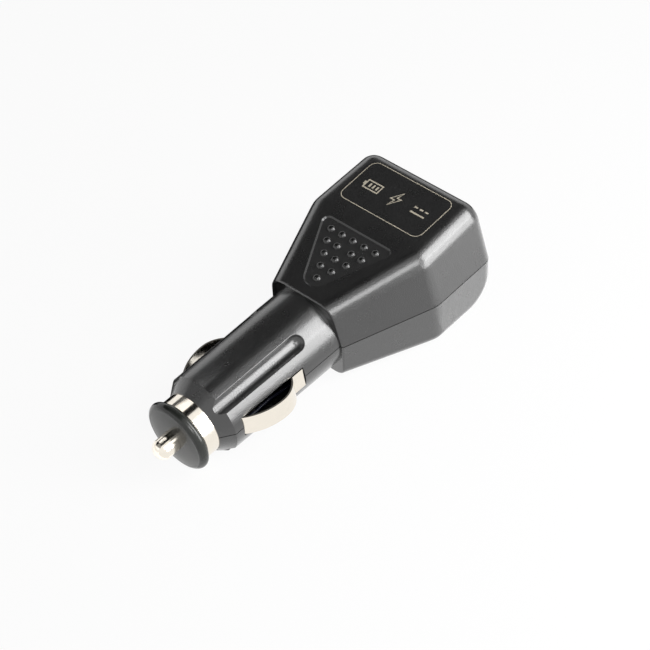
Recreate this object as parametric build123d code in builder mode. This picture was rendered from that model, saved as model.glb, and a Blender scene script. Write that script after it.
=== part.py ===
"""Car USB charger plug: a moulded head and barrel in two shells, a sprung nose pin with its fuse,
two bowed side contacts, and the converter board with its outlet socket.

Millimetres. X runs along the plug, nose at -X; x = 0 is the head's front face.
Z is up through the face with the bumps; z = 0 is the parting plane of the two shells.
"""
import os
from math import atan2, cos, hypot, sin

from build123d import *

os.makedirs("parts", exist_ok=True)

# Fits shared by neighbouring pieces
slide_gap = 0.05
seat_gap = 0.02
tol = 0.001
edge_middle = 0.5

# Barrel: the rear land has the size of a standard lighter socket plug
barrel_r = 10.4
barrel_front_r = 10.16
barrel_len = 32.8
land_len = 7.6
bevel_len = 3.1
bevel_r = 7.9
bore_wall = 2.0
bore_r = barrel_front_r - bore_wall
front_wall = 2.4
barrel_x = -barrel_len
bevel_x = barrel_x - bevel_len
bore_x = barrel_x + front_wall

# Flutes along the barrel, open at the bevel, with a ball end behind
flute_r = 2.3
flute_depth = 1.2
flute_angle = 45.0
lip_r = 0.2
flute_axis_r = barrel_front_r + flute_r - flute_depth
flute_chord = (flute_r**2 - (flute_r - flute_depth) ** 2) ** 0.5
flute_end_x = -land_len - flute_chord

# Head: flares from the barrel in width and height up to a bend, then runs nearly straight
head_len = 42.1
head_front_w = 22.3
head_w = 39.4
head_rear_w = 38.6
bend_x = 22.4
roof_front_h = 11.0
roof_bend_h = 14.4
roof_rear_h = 15.7
base_front_h = 10.5
base_bend_h = 13.1
base_rear_h = 13.3
side_draft = 8.0
plan_bend_r = 7.4
roof_bend_r = 40.0
edge_r = 4.8
corner_r = 3.2
base_back_r = 8.5
front_edge_r = 0.5
seam = 0.2
wall = 1.8
run_off = 10.0
roof_slope = atan2(roof_bend_h - roof_front_h, bend_x)

# Grip panel on the roof: rounded triangle with domed bumps, sizes along x and y as seen from above
panel_depth = 0.35
panel_draft = 45.0
panel_rear_x = 20.4
panel_half_w = 11.5
panel_apex_x = -1.6
panel_apex_r = 3.7
panel_corner_r = 1.6
bump_r = 1.05
bump_h = 0.7
bump_root = 0.3
bump_row_x = 17.8
bump_row_step = 3.1
bump_pitch = 3.47
bump_wide_half = 5.45
bump_narrow_half = 2.25

# Side slots and bowed contacts; each strip turns on a rolled eye at its front end
slot_front_x = -30.4
slot_rear_x = -11.2
slot_w = 5.5
strip_w = 5.2
strip_t = 0.4
strip_peak = 13.45
eye_r = 0.7
eye_set = 0.3
eye_x = slot_front_x - eye_set
eye_y = 8.8
tab_len = 3.2
tab_y = 10.2
tab_gap = 0.4
peak_x = -20.5

# Nose collar, its neck held in the shells between ring and rear flange
collar_r = 7.75
collar_len = 3.75
neck_r = 6.6
collar_bore_r = 5.2
flange_r = 7.1
flange_t = 1.0
collar_edge = 0.3
collar_x = bevel_x - collar_len

# Insulating nose disc with a spigot in the collar
disc_r = 8.9
disc_t = 3.0
disc_rim_r = 1.1
disc_crown = 0.5
spigot_len = 2.9

# Sprung nose pin and the fuse behind it
pin_r = 2.5
pin_out = 5.35
pin_dome = 1.9
pin_flange_r = 3.6
pin_flange_t = 1.0
fuse_len = 20.0
fuse_r = 2.5
fuse_bore_r = 1.9
cap_r = 2.65
cap_len = 5.0
cap_end_t = 0.3
fuse_wire_r = 0.15
disc_front_x = collar_x - disc_t
spigot_x = collar_x + spigot_len
fuse_x = spigot_x + pin_flange_t
fuse_rear_x = fuse_x + fuse_len

# Coil spring and the terminal that it stands on
spring_len = 8.6
spring_r = 2.1
spring_wire_r = 0.25
spring_turns = 5
terminal_t = 0.5
terminal_w = 5.6
terminal_h = 3.0
foot_w = 3.0
foot_len = 5.0
terminal_x = fuse_rear_x + spring_len

# Outlet socket, centred in the rear face
usb_w = 13.2
usb_h = 5.8
usb_t = 0.3
usb_corner_r = 0.7
usb_len = 14.2
usb_recess = 0.3
usb_block = 3.6
tongue_w = 11.0
tongue_t = 1.84
tongue_top_gap = 0.75
tongue_back = 1.2
pad_w = 1.0
pad_t = 0.2
pad_pitch_in = 1.0
pad_pitch_out = 3.5
pad_back = 1.2
pad_tail = 0.8
port_gap = 0.3
port_corner_r = 0.6
usb_rear_x = head_len - usb_recess
usb_x = usb_rear_x - usb_len

# Circuit board under the socket
board_t = 1.6
board_top = -usb_h / 2
board_lap = 2.6
board_gap = 0.4
board_x = terminal_x + board_lap
board_nose_half = 5.6
board_half = 11.8
board_flare_x = 8.0
board_wide_x = bend_x
board_rear_x = head_len - wall - board_gap

# Parts on the board
cap_in_r = 3.15
cap_in_h = 9.0
cap_in_x = 8.2
cap_out_r = 3.15
cap_out_h = 8.0
cap_groove = 0.25
cap_groove_w = 0.6
cap_groove_z = 1.4
coil_x = 21.6
coil_y = 6.6
coil_r = 3.4
coil_core_r = 1.8
coil_h = 5.0
coil_flange = 0.9
chip_l = 4.9
chip_w = 3.9
chip_h = 1.5
chip_x = 15.6
diode_l = 4.3
diode_w = 2.6
diode_h = 2.2
diode_x = 14.6
diode_y = -5.6
small_l = 1.6
small_w = 0.8
small_h = 0.5
small_x = 14.4
small_y = 4.6
small_step = 1.6
small_count = 3
leg_w = 0.4
leg_h = 0.2
leg_out = 0.9
leg_pitch = 1.27
leg_count = 4

# Ground leads from the side contacts to the board
lead_r = 0.4
lead_low_y = 5.5
lead_low_z = -4.2
lead_end_y = 4.4
lead_reach = 0.85
lead_drop = 0.71
lead_start_z = -1.7
lead_bend_x = -27.9
lead_bend_y = 6.8
lead_bend_z = -2.7
lead_rise = 3.0
lead_mid_z = -2.9
lead_lap = 2.0

# Posts, locating pegs and fuse cradles inside the shells
post_r = 1.6
post_back = 4.0
post_x = usb_x + post_back
post_y = 9.6
peg_boss_r = 2.2
peg_r = 1.1
peg_len = 2.2
peg_front_x = 16.0
peg_front_y = 12.7
peg_rear_gap = 0.6
peg_rear_x = head_len - wall - peg_boss_r - peg_rear_gap
peg_rear_y = 14.6
cradle_t = 1.5
cradle_w = 7.6
cradle_gap = 0.08
cradle_front_x = -26.6
cradle_rear_x = -17.6
back_rib_t = 1.5
ledge_t = 1.5


def runs_along(edge, axis):
    """Whether the middle of an edge runs more along an axis than across it."""
    across = edge.tangent_at(edge_middle).cross(axis.direction).length
    return abs(edge.tangent_at(edge_middle).dot(axis.direction)) > across


def from_axis(edge):
    """Distance of the middle of an edge from the plug's axis."""
    middle = edge.position_at(edge_middle)
    return hypot(middle.Y, middle.Z)


def head_block(inset, front_h, bend_h, rear_h, back_r):
    """Half of the head, drawn in by inset: drafted sides under a roof of two slopes.

    With a back_r the roof's rear end is rounded by it, and one rounding of corner_r runs along
    each side edge and down the rear corner. Without one, the side edges have edge_r and the
    outline of the rear face has corner_r. Both halves have the same corners where they meet.
    """
    front_slope = (head_w - head_front_w) / 2 / bend_x
    rear_slope = (head_rear_w - head_w) / 2 / (head_len - bend_x)
    front_y = head_front_w / 2 - run_off * front_slope
    rear_y = head_rear_w / 2 + run_off * rear_slope
    with BuildPart() as block:
        with BuildSketch() as plan:
            with BuildLine():
                Polyline(
                    (-run_off, -front_y),
                    (bend_x, -head_w / 2),
                    (head_len + run_off, -rear_y),
                    (head_len + run_off, rear_y),
                    (bend_x, head_w / 2),
                    (-run_off, front_y),
                    close=True,
                )
            make_face()
            bends = plan.vertices().group_by(Axis.Y)
            fillet(bends[0] + bends[-1], plan_bend_r)
            if inset:
                offset(amount=-inset, kind=Kind.INTERSECTION)
        extrude(amount=rear_h + run_off, taper=side_draft)
        with BuildSketch(Plane.XZ) as roof:
            with BuildLine():
                Polyline(
                    (0, -run_off),
                    (0, front_h),
                    (bend_x, bend_h),
                    (head_len, rear_h),
                    (head_len, -run_off),
                    close=True,
                )
            make_face()
            fillet(roof.vertices().sort_by_distance((bend_x, bend_h, 0))[0], roof_bend_r)
            if back_r:
                fillet(roof.vertices().sort_by_distance((head_len, rear_h, 0))[0], back_r)
            if inset:
                offset(amount=-inset, kind=Kind.INTERSECTION)
        extrude(amount=head_w, both=True, mode=Mode.INTERSECT)
        raised = block.edges().filter_by(lambda e: e.center().Z > tol and e.center().X > inset + tol)
        if back_r:
            fillet(raised.filter_by(lambda e: not runs_along(e, Axis.Y)), corner_r - inset)
        else:
            fillet(raised.filter_by(lambda e: runs_along(e, Axis.X)), edge_r - inset)
            rear_x = head_len - inset
            rear_rim = block.edges().filter_by(lambda e: e.center().X > rear_x - tol and e.center().Z > tol)
            fillet(rear_rim, corner_r - inset)
        if not inset:
            fillet(block.edges().filter_by(lambda e: e.center().X < tol and e.center().Z > tol), front_edge_r)
    return block.part


def upper_block(inset):
    """Upper half of the head."""
    return head_block(inset, roof_front_h, roof_bend_h, roof_rear_h, 0)


def lower_block(inset):
    """Lower half of the head, drawn upside down: flatter, with its rear end swept up."""
    return head_block(inset, base_front_h, base_bend_h, base_rear_h, base_back_r)


# Round-ended cutter for one flute, lying along the top of the barrel
with BuildPart() as flute_cutter:
    with BuildSketch(Plane.XZ) as flute_profile:
        with BuildLine():
            Polyline(
                (flute_end_x, flute_axis_r + flute_r),
                (bevel_x - run_off, flute_axis_r + flute_r),
                (bevel_x - run_off, flute_axis_r),
                (flute_end_x + flute_r, flute_axis_r),
            )
            RadiusArc((flute_end_x, flute_axis_r + flute_r), (flute_end_x + flute_r, flute_axis_r), flute_r)
        make_face()
    revolve(axis=Axis((0, 0, flute_axis_r), (1, 0, 0)))

# Half of the barrel, its flutes with rounded lips, and half of what is hollow in it
with BuildPart() as half_barrel:
    with BuildSketch() as barrel_profile:
        with BuildLine():
            Polyline(
                (wall, 0),
                (wall, barrel_r),
                (-land_len, barrel_r),
                (barrel_x, barrel_front_r),
                (bevel_x, bevel_r),
                (bevel_x, 0),
                close=True,
            )
        make_face()
    revolve(axis=Axis.X, revolution_arc=180)
    for turn in (flute_angle, -flute_angle):
        add(flute_cutter.part.rotate(Axis.X, turn), mode=Mode.SUBTRACT)
    flutes = half_barrel.faces().filter_by(lambda f: f.radius and abs(f.radius - flute_r) < tol)
    fillet(flutes.edges().filter_by(lambda e: from_axis(e) > barrel_front_r - tol), lip_r)

with BuildPart() as half_bore:
    with BuildSketch() as bore_profile:
        with BuildLine():
            Polyline(
                (2 * wall, 0),
                (2 * wall, bore_r),
                (bore_x, bore_r),
                (bore_x, neck_r + seat_gap),
                (bevel_x - run_off, neck_r + seat_gap),
                (bevel_x - run_off, 0),
                close=True,
            )
        make_face()
    revolve(axis=Axis.X, revolution_arc=180)

# Outside and inside of each shell; a fine bevel round the upper one's foot shows as the seam
with BuildPart() as upper_form:
    add(upper_block(0))
    add(half_barrel.part)
    chamfer(upper_form.faces().sort_by(Axis.Z)[0].outer_wire().edges(), seam)

with BuildPart() as upper_hollow:
    add(upper_block(wall))
    add(half_bore.part)

with BuildPart() as lower_form:
    mirror(lower_block(0), about=Plane.XY)
    mirror(half_barrel.part, about=Plane.XY)

with BuildPart() as lower_hollow:
    mirror(lower_block(wall), about=Plane.XY)
    mirror(half_bore.part, about=Plane.XY)

# Openings that both shells share: contact slots with eye pockets, and the rear port
with BuildPart() as openings:
    slot_len = slot_rear_x - slot_front_x
    slot_mid_x = (slot_front_x + slot_rear_x) / 2
    slot_depth = 2 * (barrel_r - flange_r)
    with Locations((slot_mid_x, barrel_r, 0), (slot_mid_x, -barrel_r, 0)):
        Box(slot_len, slot_depth, slot_w)
    with Locations((eye_x, eye_y, 0), (eye_x, -eye_y, 0)):
        Cylinder(eye_r + seat_gap, slot_w)
    with BuildSketch(Plane.YZ.offset(usb_rear_x - usb_block)) as port:
        RectangleRounded(usb_w + 2 * port_gap, usb_h + 2 * port_gap, port_corner_r)
    extrude(amount=2 * usb_block)

# Spots of the four locating pegs and of the two posts that clamp the board
peg_spots = [
    (peg_front_x, peg_front_y),
    (peg_front_x, -peg_front_y),
    (peg_rear_x, peg_rear_y),
    (peg_rear_x, -peg_rear_y),
]
post_spots = [(post_x, post_y), (post_x, -post_y)]
rib_h = bore_r + bore_wall / 2

# One dome of the grip panel, standing on a short root
with BuildPart() as dome:
    with BuildSketch(Plane.XZ) as dome_profile:
        with BuildLine():
            TangentArc((0, bump_h), (bump_r, 0), tangent=(1, 0))
            Polyline((bump_r, 0), (bump_r, -bump_root), (0, -bump_root), (0, bump_h))
        make_face()
    revolve(axis=Axis.Z)

# Upper shell: bosses, board posts, fuse cradles and the stop behind the spring terminal
with BuildPart() as upper_fittings:
    with BuildSketch() as upper_bosses:
        with Locations(*peg_spots):
            Circle(peg_boss_r)
        with Locations(*post_spots):
            Circle(post_r)
    extrude(amount=roof_rear_h)
    with Locations((cradle_front_x, 0, 0), (cradle_rear_x, 0, 0)):
        Box(cradle_t, cradle_w, rib_h, align=(Align.CENTER, Align.CENTER, Align.MIN))
    with Locations((terminal_x + terminal_t, 0, 0)):
        Box(back_rib_t, terminal_w, rib_h, align=(Align.MIN, Align.CENTER, Align.MIN))
    with Locations(((cradle_front_x + cradle_rear_x) / 2, 0, 0)):
        Cylinder(
            cap_r + cradle_gap,
            cradle_rear_x - cradle_front_x + 2 * cradle_t,
            rotation=(0, 90, 0),
            mode=Mode.SUBTRACT,
        )
    add(upper_form.part, mode=Mode.INTERSECT)

with BuildPart() as upper_shell:
    add(upper_form.part)
    add(upper_hollow.part, mode=Mode.SUBTRACT)
    add(upper_fittings.part)
    with BuildSketch() as post_feet:
        with Locations(*post_spots):
            Circle(post_r)
    extrude(amount=board_top)
    add(openings.part, mode=Mode.SUBTRACT)
    with BuildSketch() as peg_holes:
        with Locations(*peg_spots):
            Circle(peg_r + slide_gap)
    extrude(amount=peg_len + slide_gap, mode=Mode.SUBTRACT)
    # Sloped grip panel: a shallow rounded triangle with slanting walls, the domes on its floor
    roof_plane = Plane(
        origin=(0, 0, roof_front_h),
        x_dir=(cos(roof_slope), 0, sin(roof_slope)),
        z_dir=(-sin(roof_slope), 0, cos(roof_slope)),
    )
    with BuildSketch(roof_plane) as panel:
        with BuildLine():
            Polyline(
                (panel_apex_x, 0),
                (panel_rear_x, -panel_half_w),
                (panel_rear_x, panel_half_w),
                close=True,
            )
        make_face()
        corners = panel.vertices().sort_by(Axis.X)
        fillet(corners[0], panel_apex_r)
        corners = panel.vertices().group_by(Axis.X)[-1]
        fillet(corners, panel_corner_r)
    extrude(amount=-panel_depth, taper=panel_draft, mode=Mode.SUBTRACT)
    row_spots = [
        [0, bump_pitch, -bump_pitch, 2 * bump_pitch, -2 * bump_pitch],
        [bump_narrow_half, -bump_narrow_half, bump_wide_half, -bump_wide_half],
        [0, bump_pitch, -bump_pitch],
        [bump_pitch / 2, -bump_pitch / 2],
        [0],
    ]
    floor_plane = roof_plane.offset(-panel_depth)
    for row, spots_y in enumerate(row_spots):
        for spot_y in spots_y:
            with Locations(floor_plane.location * Location((bump_row_x - row * bump_row_step, spot_y, 0))):
                add(dome.part)
upper_shell.part.label = "upper_shell"
export_step(upper_shell.part, "parts/upper_shell.step")

# Lower shell: the mirrored form with pegs, board posts and a ledge under the board's nose
with BuildPart() as lower_fittings:
    with BuildSketch() as lower_bosses:
        with Locations(*peg_spots):
            Circle(peg_boss_r)
    extrude(amount=-roof_rear_h)
    with BuildSketch(Plane.XY.offset(board_top - board_t)) as lower_posts:
        with Locations(*post_spots):
            Circle(post_r)
    extrude(amount=-roof_rear_h)
    with Locations((board_x + ledge_t, 0, board_top - board_t)):
        Box(ledge_t, board_nose_half, rib_h, align=(Align.MIN, Align.CENTER, Align.MAX))
    with Locations((cradle_front_x, 0, 0), (cradle_rear_x, 0, 0)):
        Box(cradle_t, cradle_w, rib_h, align=(Align.CENTER, Align.CENTER, Align.MAX))
    with Locations((terminal_x + terminal_t, 0, board_top)):
        Box(back_rib_t, terminal_w, rib_h, align=(Align.MIN, Align.CENTER, Align.MAX))
    with Locations(((cradle_front_x + cradle_rear_x) / 2, 0, 0)):
        Cylinder(
            cap_r + cradle_gap,
            cradle_rear_x - cradle_front_x + 2 * cradle_t,
            rotation=(0, 90, 0),
            mode=Mode.SUBTRACT,
        )
    add(lower_form.part, mode=Mode.INTERSECT)

with BuildPart() as lower_shell:
    add(lower_form.part)
    add(lower_hollow.part, mode=Mode.SUBTRACT)
    add(lower_fittings.part)
    add(openings.part, mode=Mode.SUBTRACT)
    with BuildSketch() as pegs:
        with Locations(*peg_spots):
            Circle(peg_r)
    extrude(amount=peg_len)
lower_shell.part.label = "lower_shell"
export_step(lower_shell.part, "parts/lower_shell.step")

# Nose collar: bright ring outside, neck through the shells, flange behind their front wall
with BuildPart() as nose_collar:
    with BuildSketch() as collar_profile:
        with BuildLine():
            Polyline(
                (collar_x, collar_bore_r),
                (collar_x, collar_r - collar_edge),
                (collar_x + collar_edge, collar_r),
                (bevel_x, collar_r),
                (bevel_x, neck_r),
                (bore_x, neck_r),
                (bore_x, flange_r),
                (bore_x + flange_t, flange_r),
                (bore_x + flange_t, collar_bore_r),
                close=True,
            )
        make_face()
    revolve(axis=Axis.X)
nose_collar.part.label = "nose_collar"
export_step(nose_collar.part, "parts/nose_collar.step")

# Nose disc: crowned insulator with a rounded rim and a spigot in the collar's bore
with BuildPart() as nose_disc:
    rim_x = collar_x - disc_rim_r
    brow_r = disc_t - disc_rim_r - disc_crown
    hole_r = pin_r + slide_gap
    with BuildSketch() as disc_profile:
        with BuildLine():
            TangentArc((rim_x, disc_r), (collar_x, disc_r - disc_rim_r), tangent=(1, 0))
            rim_front = TangentArc((rim_x, disc_r), (rim_x - brow_r, disc_r - brow_r), tangent=(-1, 0))
            TangentArc((disc_front_x, hole_r), rim_front @ 1, tangent=(0, 1))
            Polyline(
                (disc_front_x, hole_r),
                (spigot_x, hole_r),
                (spigot_x, collar_bore_r - seat_gap),
                (collar_x, collar_bore_r - seat_gap),
                (collar_x, disc_r - disc_rim_r),
            )
        make_face()
    revolve(axis=Axis.X)
nose_disc.part.label = "nose_disc"
export_step(nose_disc.part, "parts/nose_disc.step")

# Nose pin: domed end outside, flange behind the disc's spigot
with BuildPart() as center_pin:
    tip_x = disc_front_x - pin_out
    with BuildSketch() as pin_profile:
        with BuildLine():
            TangentArc((tip_x, 0), (tip_x + pin_dome, pin_r), tangent=(0, 1))
            Polyline(
                (tip_x + pin_dome, pin_r),
                (spigot_x, pin_r),
                (spigot_x, pin_flange_r),
                (fuse_x, pin_flange_r),
                (fuse_x, 0),
                (tip_x, 0),
            )
        make_face()
    revolve(axis=Axis.X)
center_pin.part.label = "center_pin"
export_step(center_pin.part, "parts/center_pin.step")

# Glass fuse: tube, two end caps and the wire between them
with BuildPart() as fuse_front_cap:
    with BuildSketch() as front_cap_profile:
        with BuildLine():
            Polyline(
                (fuse_x, 0),
                (fuse_x, cap_r),
                (fuse_x + cap_len, cap_r),
                (fuse_x + cap_len, fuse_r + seat_gap),
                (fuse_x + cap_end_t, fuse_r + seat_gap),
                (fuse_x + cap_end_t, 0),
                close=True,
            )
        make_face()
    revolve(axis=Axis.X)
fuse_front_cap.part.label = "fuse_front_cap"
export_step(fuse_front_cap.part, "parts/fuse_front_cap.step")

with BuildPart() as fuse_rear_cap:
    mirror(fuse_front_cap.part, about=Plane.YZ.offset(fuse_x + fuse_len / 2))
fuse_rear_cap.part.label = "fuse_rear_cap"
export_step(fuse_rear_cap.part, "parts/fuse_rear_cap.step")

with BuildPart() as fuse_tube:
    with BuildSketch(Plane.YZ.offset(fuse_x + cap_end_t)) as tube_ring:
        Circle(fuse_r)
        Circle(fuse_bore_r, mode=Mode.SUBTRACT)
    extrude(amount=fuse_len - 2 * cap_end_t)
fuse_tube.part.label = "fuse_tube"
export_step(fuse_tube.part, "parts/fuse_tube.step")

with BuildPart() as fuse_wire:
    with BuildSketch(Plane.YZ.offset(fuse_x + cap_end_t)) as wire_section:
        Circle(fuse_wire_r)
    extrude(amount=fuse_len - 2 * cap_end_t)
fuse_wire.part.label = "fuse_wire"
export_step(fuse_wire.part, "parts/fuse_wire.step")

# Coil spring between the fuse and its terminal
with BuildPart() as contact_spring:
    coil_len = spring_len - 2 * spring_wire_r
    with BuildLine() as coil:
        Helix(
            pitch=coil_len / spring_turns,
            height=coil_len,
            radius=spring_r,
            center=(fuse_rear_x + spring_wire_r, 0, 0),
            direction=(1, 0, 0),
        )
    with BuildSketch(Plane(coil.line @ 0, z_dir=coil.line % 0)) as coil_section:
        Circle(spring_wire_r)
    sweep(is_frenet=True)
contact_spring.part.label = "contact_spring"
export_step(contact_spring.part, "parts/contact_spring.step")

# Spring terminal: an upright plate with a foot soldered on the board
with BuildPart() as supply_terminal:
    with Locations((terminal_x, 0, board_top)):
        Box(
            terminal_t,
            terminal_w,
            terminal_h - board_top,
            align=(Align.MIN, Align.CENTER, Align.MIN),
        )
    with Locations((terminal_x, 0, board_top)):
        Box(foot_len, foot_w, terminal_t, align=(Align.MIN, Align.CENTER, Align.MIN))
supply_terminal.part.label = "supply_terminal"
export_step(supply_terminal.part, "parts/supply_terminal.step")

# Side contacts: rolled eye, long rise to the peak, steep fall to the fold, flat tab behind
fold_x = slot_rear_x - tab_gap - tab_len
mid_peak = strip_peak - strip_t / 2
mid_tab = tab_y - strip_t / 2
with BuildPart() as left_contact:
    with BuildSketch() as strip_profile:
        with BuildLine() as strip_line:
            TangentArc((peak_x, mid_peak), (eye_x, eye_y), tangent=(-1, 0))
            TangentArc((peak_x, mid_peak), (fold_x, mid_tab), tangent=(1, 0))
            Line((fold_x, mid_tab), (fold_x + tab_len, mid_tab))
            offset(amount=strip_t / 2)
        make_face()
        with Locations((eye_x, eye_y)):
            Circle(eye_r)
    extrude(amount=strip_w / 2, both=True)
left_contact.part.label = "left_contact"
export_step(left_contact.part, "parts/left_contact.step")

with BuildPart() as right_contact:
    mirror(left_contact.part, about=Plane.XZ)
right_contact.part.label = "right_contact"
export_step(right_contact.part, "parts/right_contact.step")

# Ground leads: from under each eye along the bore to the top of the board
with BuildPart() as ground_wires:
    lead_start = (eye_x + lead_reach, eye_y - lead_drop, lead_start_z)
    with BuildLine() as lead_path:
        Spline(
            lead_start,
            (lead_bend_x, lead_bend_y, lead_bend_z),
            (cradle_front_x + cradle_t, lead_low_y, lead_low_z),
            ((cradle_front_x + cradle_rear_x) / 2, lead_low_y, lead_low_z),
            (cradle_rear_x, lead_low_y, lead_low_z),
            (terminal_x - lead_rise, lead_low_y, lead_low_z),
            (terminal_x, lead_end_y, lead_mid_z),
            (board_x, lead_end_y, board_top + lead_r + slide_gap),
            (board_x + lead_lap, lead_end_y, board_top + lead_r),
        )
    with BuildSketch(Plane(lead_path.line @ 0, z_dir=lead_path.line % 0)) as lead_section:
        Circle(lead_r)
    sweep()
    mirror(about=Plane.XZ)
ground_wires.part.label = "ground_wires"
export_step(ground_wires.part, "parts/ground_wires.step")

# Circuit board: narrow nose in the barrel, wide under the socket
with BuildPart() as circuit_board:
    with BuildSketch(Plane.XY.offset(board_top - board_t)) as board_plan:
        with BuildLine():
            Polyline(
                (board_x, -board_nose_half),
                (board_flare_x, -board_nose_half),
                (board_wide_x, -board_half),
                (board_rear_x, -board_half),
                (board_rear_x, board_half),
                (board_wide_x, board_half),
                (board_flare_x, board_nose_half),
                (board_x, board_nose_half),
                close=True,
            )
        make_face()
    extrude(amount=board_t)
circuit_board.part.label = "circuit_board"
export_step(circuit_board.part, "parts/circuit_board.step")

# Outlet socket: metal shell, contacts with tails on the board, and the tongue that carries them
inner_w = usb_w - 2 * usb_t
inner_h = usb_h - 2 * usb_t
tongue_top = inner_h / 2 - tongue_top_gap
tongue_low = tongue_top - tongue_t
tongue_end_x = usb_rear_x - tongue_back
with BuildPart() as usb_shell:
    with BuildSketch(Plane.YZ.offset(usb_x)) as usb_ring:
        RectangleRounded(usb_w, usb_h, usb_corner_r)
        RectangleRounded(inner_w, inner_h, usb_corner_r - usb_t, mode=Mode.SUBTRACT)
    extrude(amount=usb_len)
usb_shell.part.label = "usb_shell"
export_step(usb_shell.part, "parts/usb_shell.step")

with BuildPart() as usb_contacts:
    pad_spots = [-pad_pitch_out, -pad_pitch_in, pad_pitch_in, pad_pitch_out]
    tail_x = usb_x - pad_tail
    with Locations(*[(tail_x, spot, tongue_low) for spot in pad_spots]):
        Box(
            tongue_end_x - pad_back - tail_x,
            pad_w,
            pad_t,
            align=(Align.MIN, Align.CENTER, Align.MAX),
        )
    with Locations(*[(tail_x, spot, board_top) for spot in pad_spots]):
        Box(pad_t, pad_w, tongue_low - board_top, align=(Align.MIN, Align.CENTER, Align.MIN))
usb_contacts.part.label = "usb_contacts"
export_step(usb_contacts.part, "parts/usb_contacts.step")

with BuildPart() as usb_tongue:
    with BuildSketch(Plane.YZ.offset(usb_x)) as block_section:
        RectangleRounded(inner_w - 2 * seat_gap, inner_h - 2 * seat_gap, usb_corner_r - usb_t)
    extrude(amount=usb_block)
    with Locations((usb_x, 0, tongue_low)):
        Box(
            tongue_end_x - usb_x,
            tongue_w,
            tongue_t,
            align=(Align.MIN, Align.CENTER, Align.MIN),
        )
    add(usb_contacts.part, mode=Mode.SUBTRACT)
usb_tongue.part.label = "usb_tongue"
export_step(usb_tongue.part, "parts/usb_tongue.step")


def capacitor(radius, height):
    """Upright can with a rolled groove near its base, standing on the board's top plane."""
    groove_low = cap_groove_z - cap_groove_w / 2
    groove_high = cap_groove_z + cap_groove_w / 2
    with BuildPart() as can:
        with BuildSketch(Plane.XZ) as can_profile:
            with BuildLine():
                Polyline(
                    (0, 0),
                    (radius, 0),
                    (radius, groove_low),
                    (radius - cap_groove, cap_groove_z),
                    (radius, groove_high),
                    (radius, height - cap_groove),
                    (radius - cap_groove, height),
                    (0, height),
                    close=True,
                )
            make_face()
        revolve(axis=Axis.Z)
    return can.part


with BuildPart() as input_capacitor:
    with Locations((cap_in_x, 0, board_top)):
        add(capacitor(cap_in_r, cap_in_h))
input_capacitor.part.label = "input_capacitor"
export_step(input_capacitor.part, "parts/input_capacitor.step")

with BuildPart() as output_capacitor:
    with Locations((coil_x, -coil_y, board_top)):
        add(capacitor(cap_out_r, cap_out_h))
output_capacitor.part.label = "output_capacitor"
export_step(output_capacitor.part, "parts/output_capacitor.step")

# Power inductor: spool core and the winding between its flanges
with BuildPart() as inductor_core:
    with Locations((coil_x, coil_y, board_top)):
        Cylinder(coil_core_r, coil_h, align=(Align.CENTER, Align.CENTER, Align.MIN))
        Cylinder(coil_r, coil_flange, align=(Align.CENTER, Align.CENTER, Align.MIN))
    with Locations((coil_x, coil_y, board_top + coil_h)):
        Cylinder(coil_r, coil_flange, align=(Align.CENTER, Align.CENTER, Align.MAX))
inductor_core.part.label = "inductor_core"
export_step(inductor_core.part, "parts/inductor_core.step")

with BuildPart() as inductor_winding:
    with BuildSketch(Plane.XY.offset(board_top + coil_flange)) as winding_ring:
        with Locations((coil_x, coil_y)):
            Circle(coil_r - cap_groove)
            Circle(coil_core_r + seat_gap, mode=Mode.SUBTRACT)
    extrude(amount=coil_h - 2 * coil_flange)
inductor_winding.part.label = "inductor_winding"
export_step(inductor_winding.part, "parts/inductor_winding.step")

# Controller chip with its two rows of legs
with BuildPart() as controller_chip:
    with Locations((chip_x, 0, board_top + leg_h)):
        Box(chip_l, chip_w, chip_h, align=(Align.CENTER, Align.CENTER, Align.MIN))
    leg_xs = [chip_x + (n - (leg_count - 1) / 2) * leg_pitch for n in range(leg_count)]
    with Locations(*[(x, 0, board_top) for x in leg_xs]):
        Box(leg_w, chip_w + 2 * leg_out, 2 * leg_h, align=(Align.CENTER, Align.CENTER, Align.MIN))
    with Locations((chip_x, 0, board_top)):
        Box(
            chip_l,
            chip_w - leg_out,
            leg_h,
            align=(Align.CENTER, Align.CENTER, Align.MIN),
            mode=Mode.SUBTRACT,
        )
controller_chip.part.label = "controller_chip"
export_step(controller_chip.part, "parts/controller_chip.step")

with BuildPart() as rectifier_diode:
    with Locations((diode_x, diode_y, board_top)):
        Box(diode_l, diode_w, diode_h, align=(Align.CENTER, Align.CENTER, Align.MIN))
        Box(diode_l + 2 * leg_out, diode_w / 2, 2 * leg_h, align=(Align.CENTER, Align.CENTER, Align.MIN))
rectifier_diode.part.label = "rectifier_diode"
export_step(rectifier_diode.part, "parts/rectifier_diode.step")

with BuildPart() as chip_parts:
    with Locations(*[(small_x + n * small_step, small_y, board_top) for n in range(small_count)]):
        Box(small_w, small_l, small_h, align=(Align.CENTER, Align.CENTER, Align.MIN))
chip_parts.part.label = "chip_parts"
export_step(chip_parts.part, "parts/chip_parts.step")
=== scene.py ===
"""Car charger plug: surface finishes, printed label, coil spring, socket leaves and stage.

Metres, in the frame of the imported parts: X runs along the plug with the nose at -X, Z is up through
the face with the grip bumps, and the parting plane of the two shells is z = 0.
"""
import math

import bpy
import numpy as np
from bpy.props import FloatProperty, FloatVectorProperty, IntProperty, PointerProperty
from mathutils import Matrix, Vector


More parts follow.
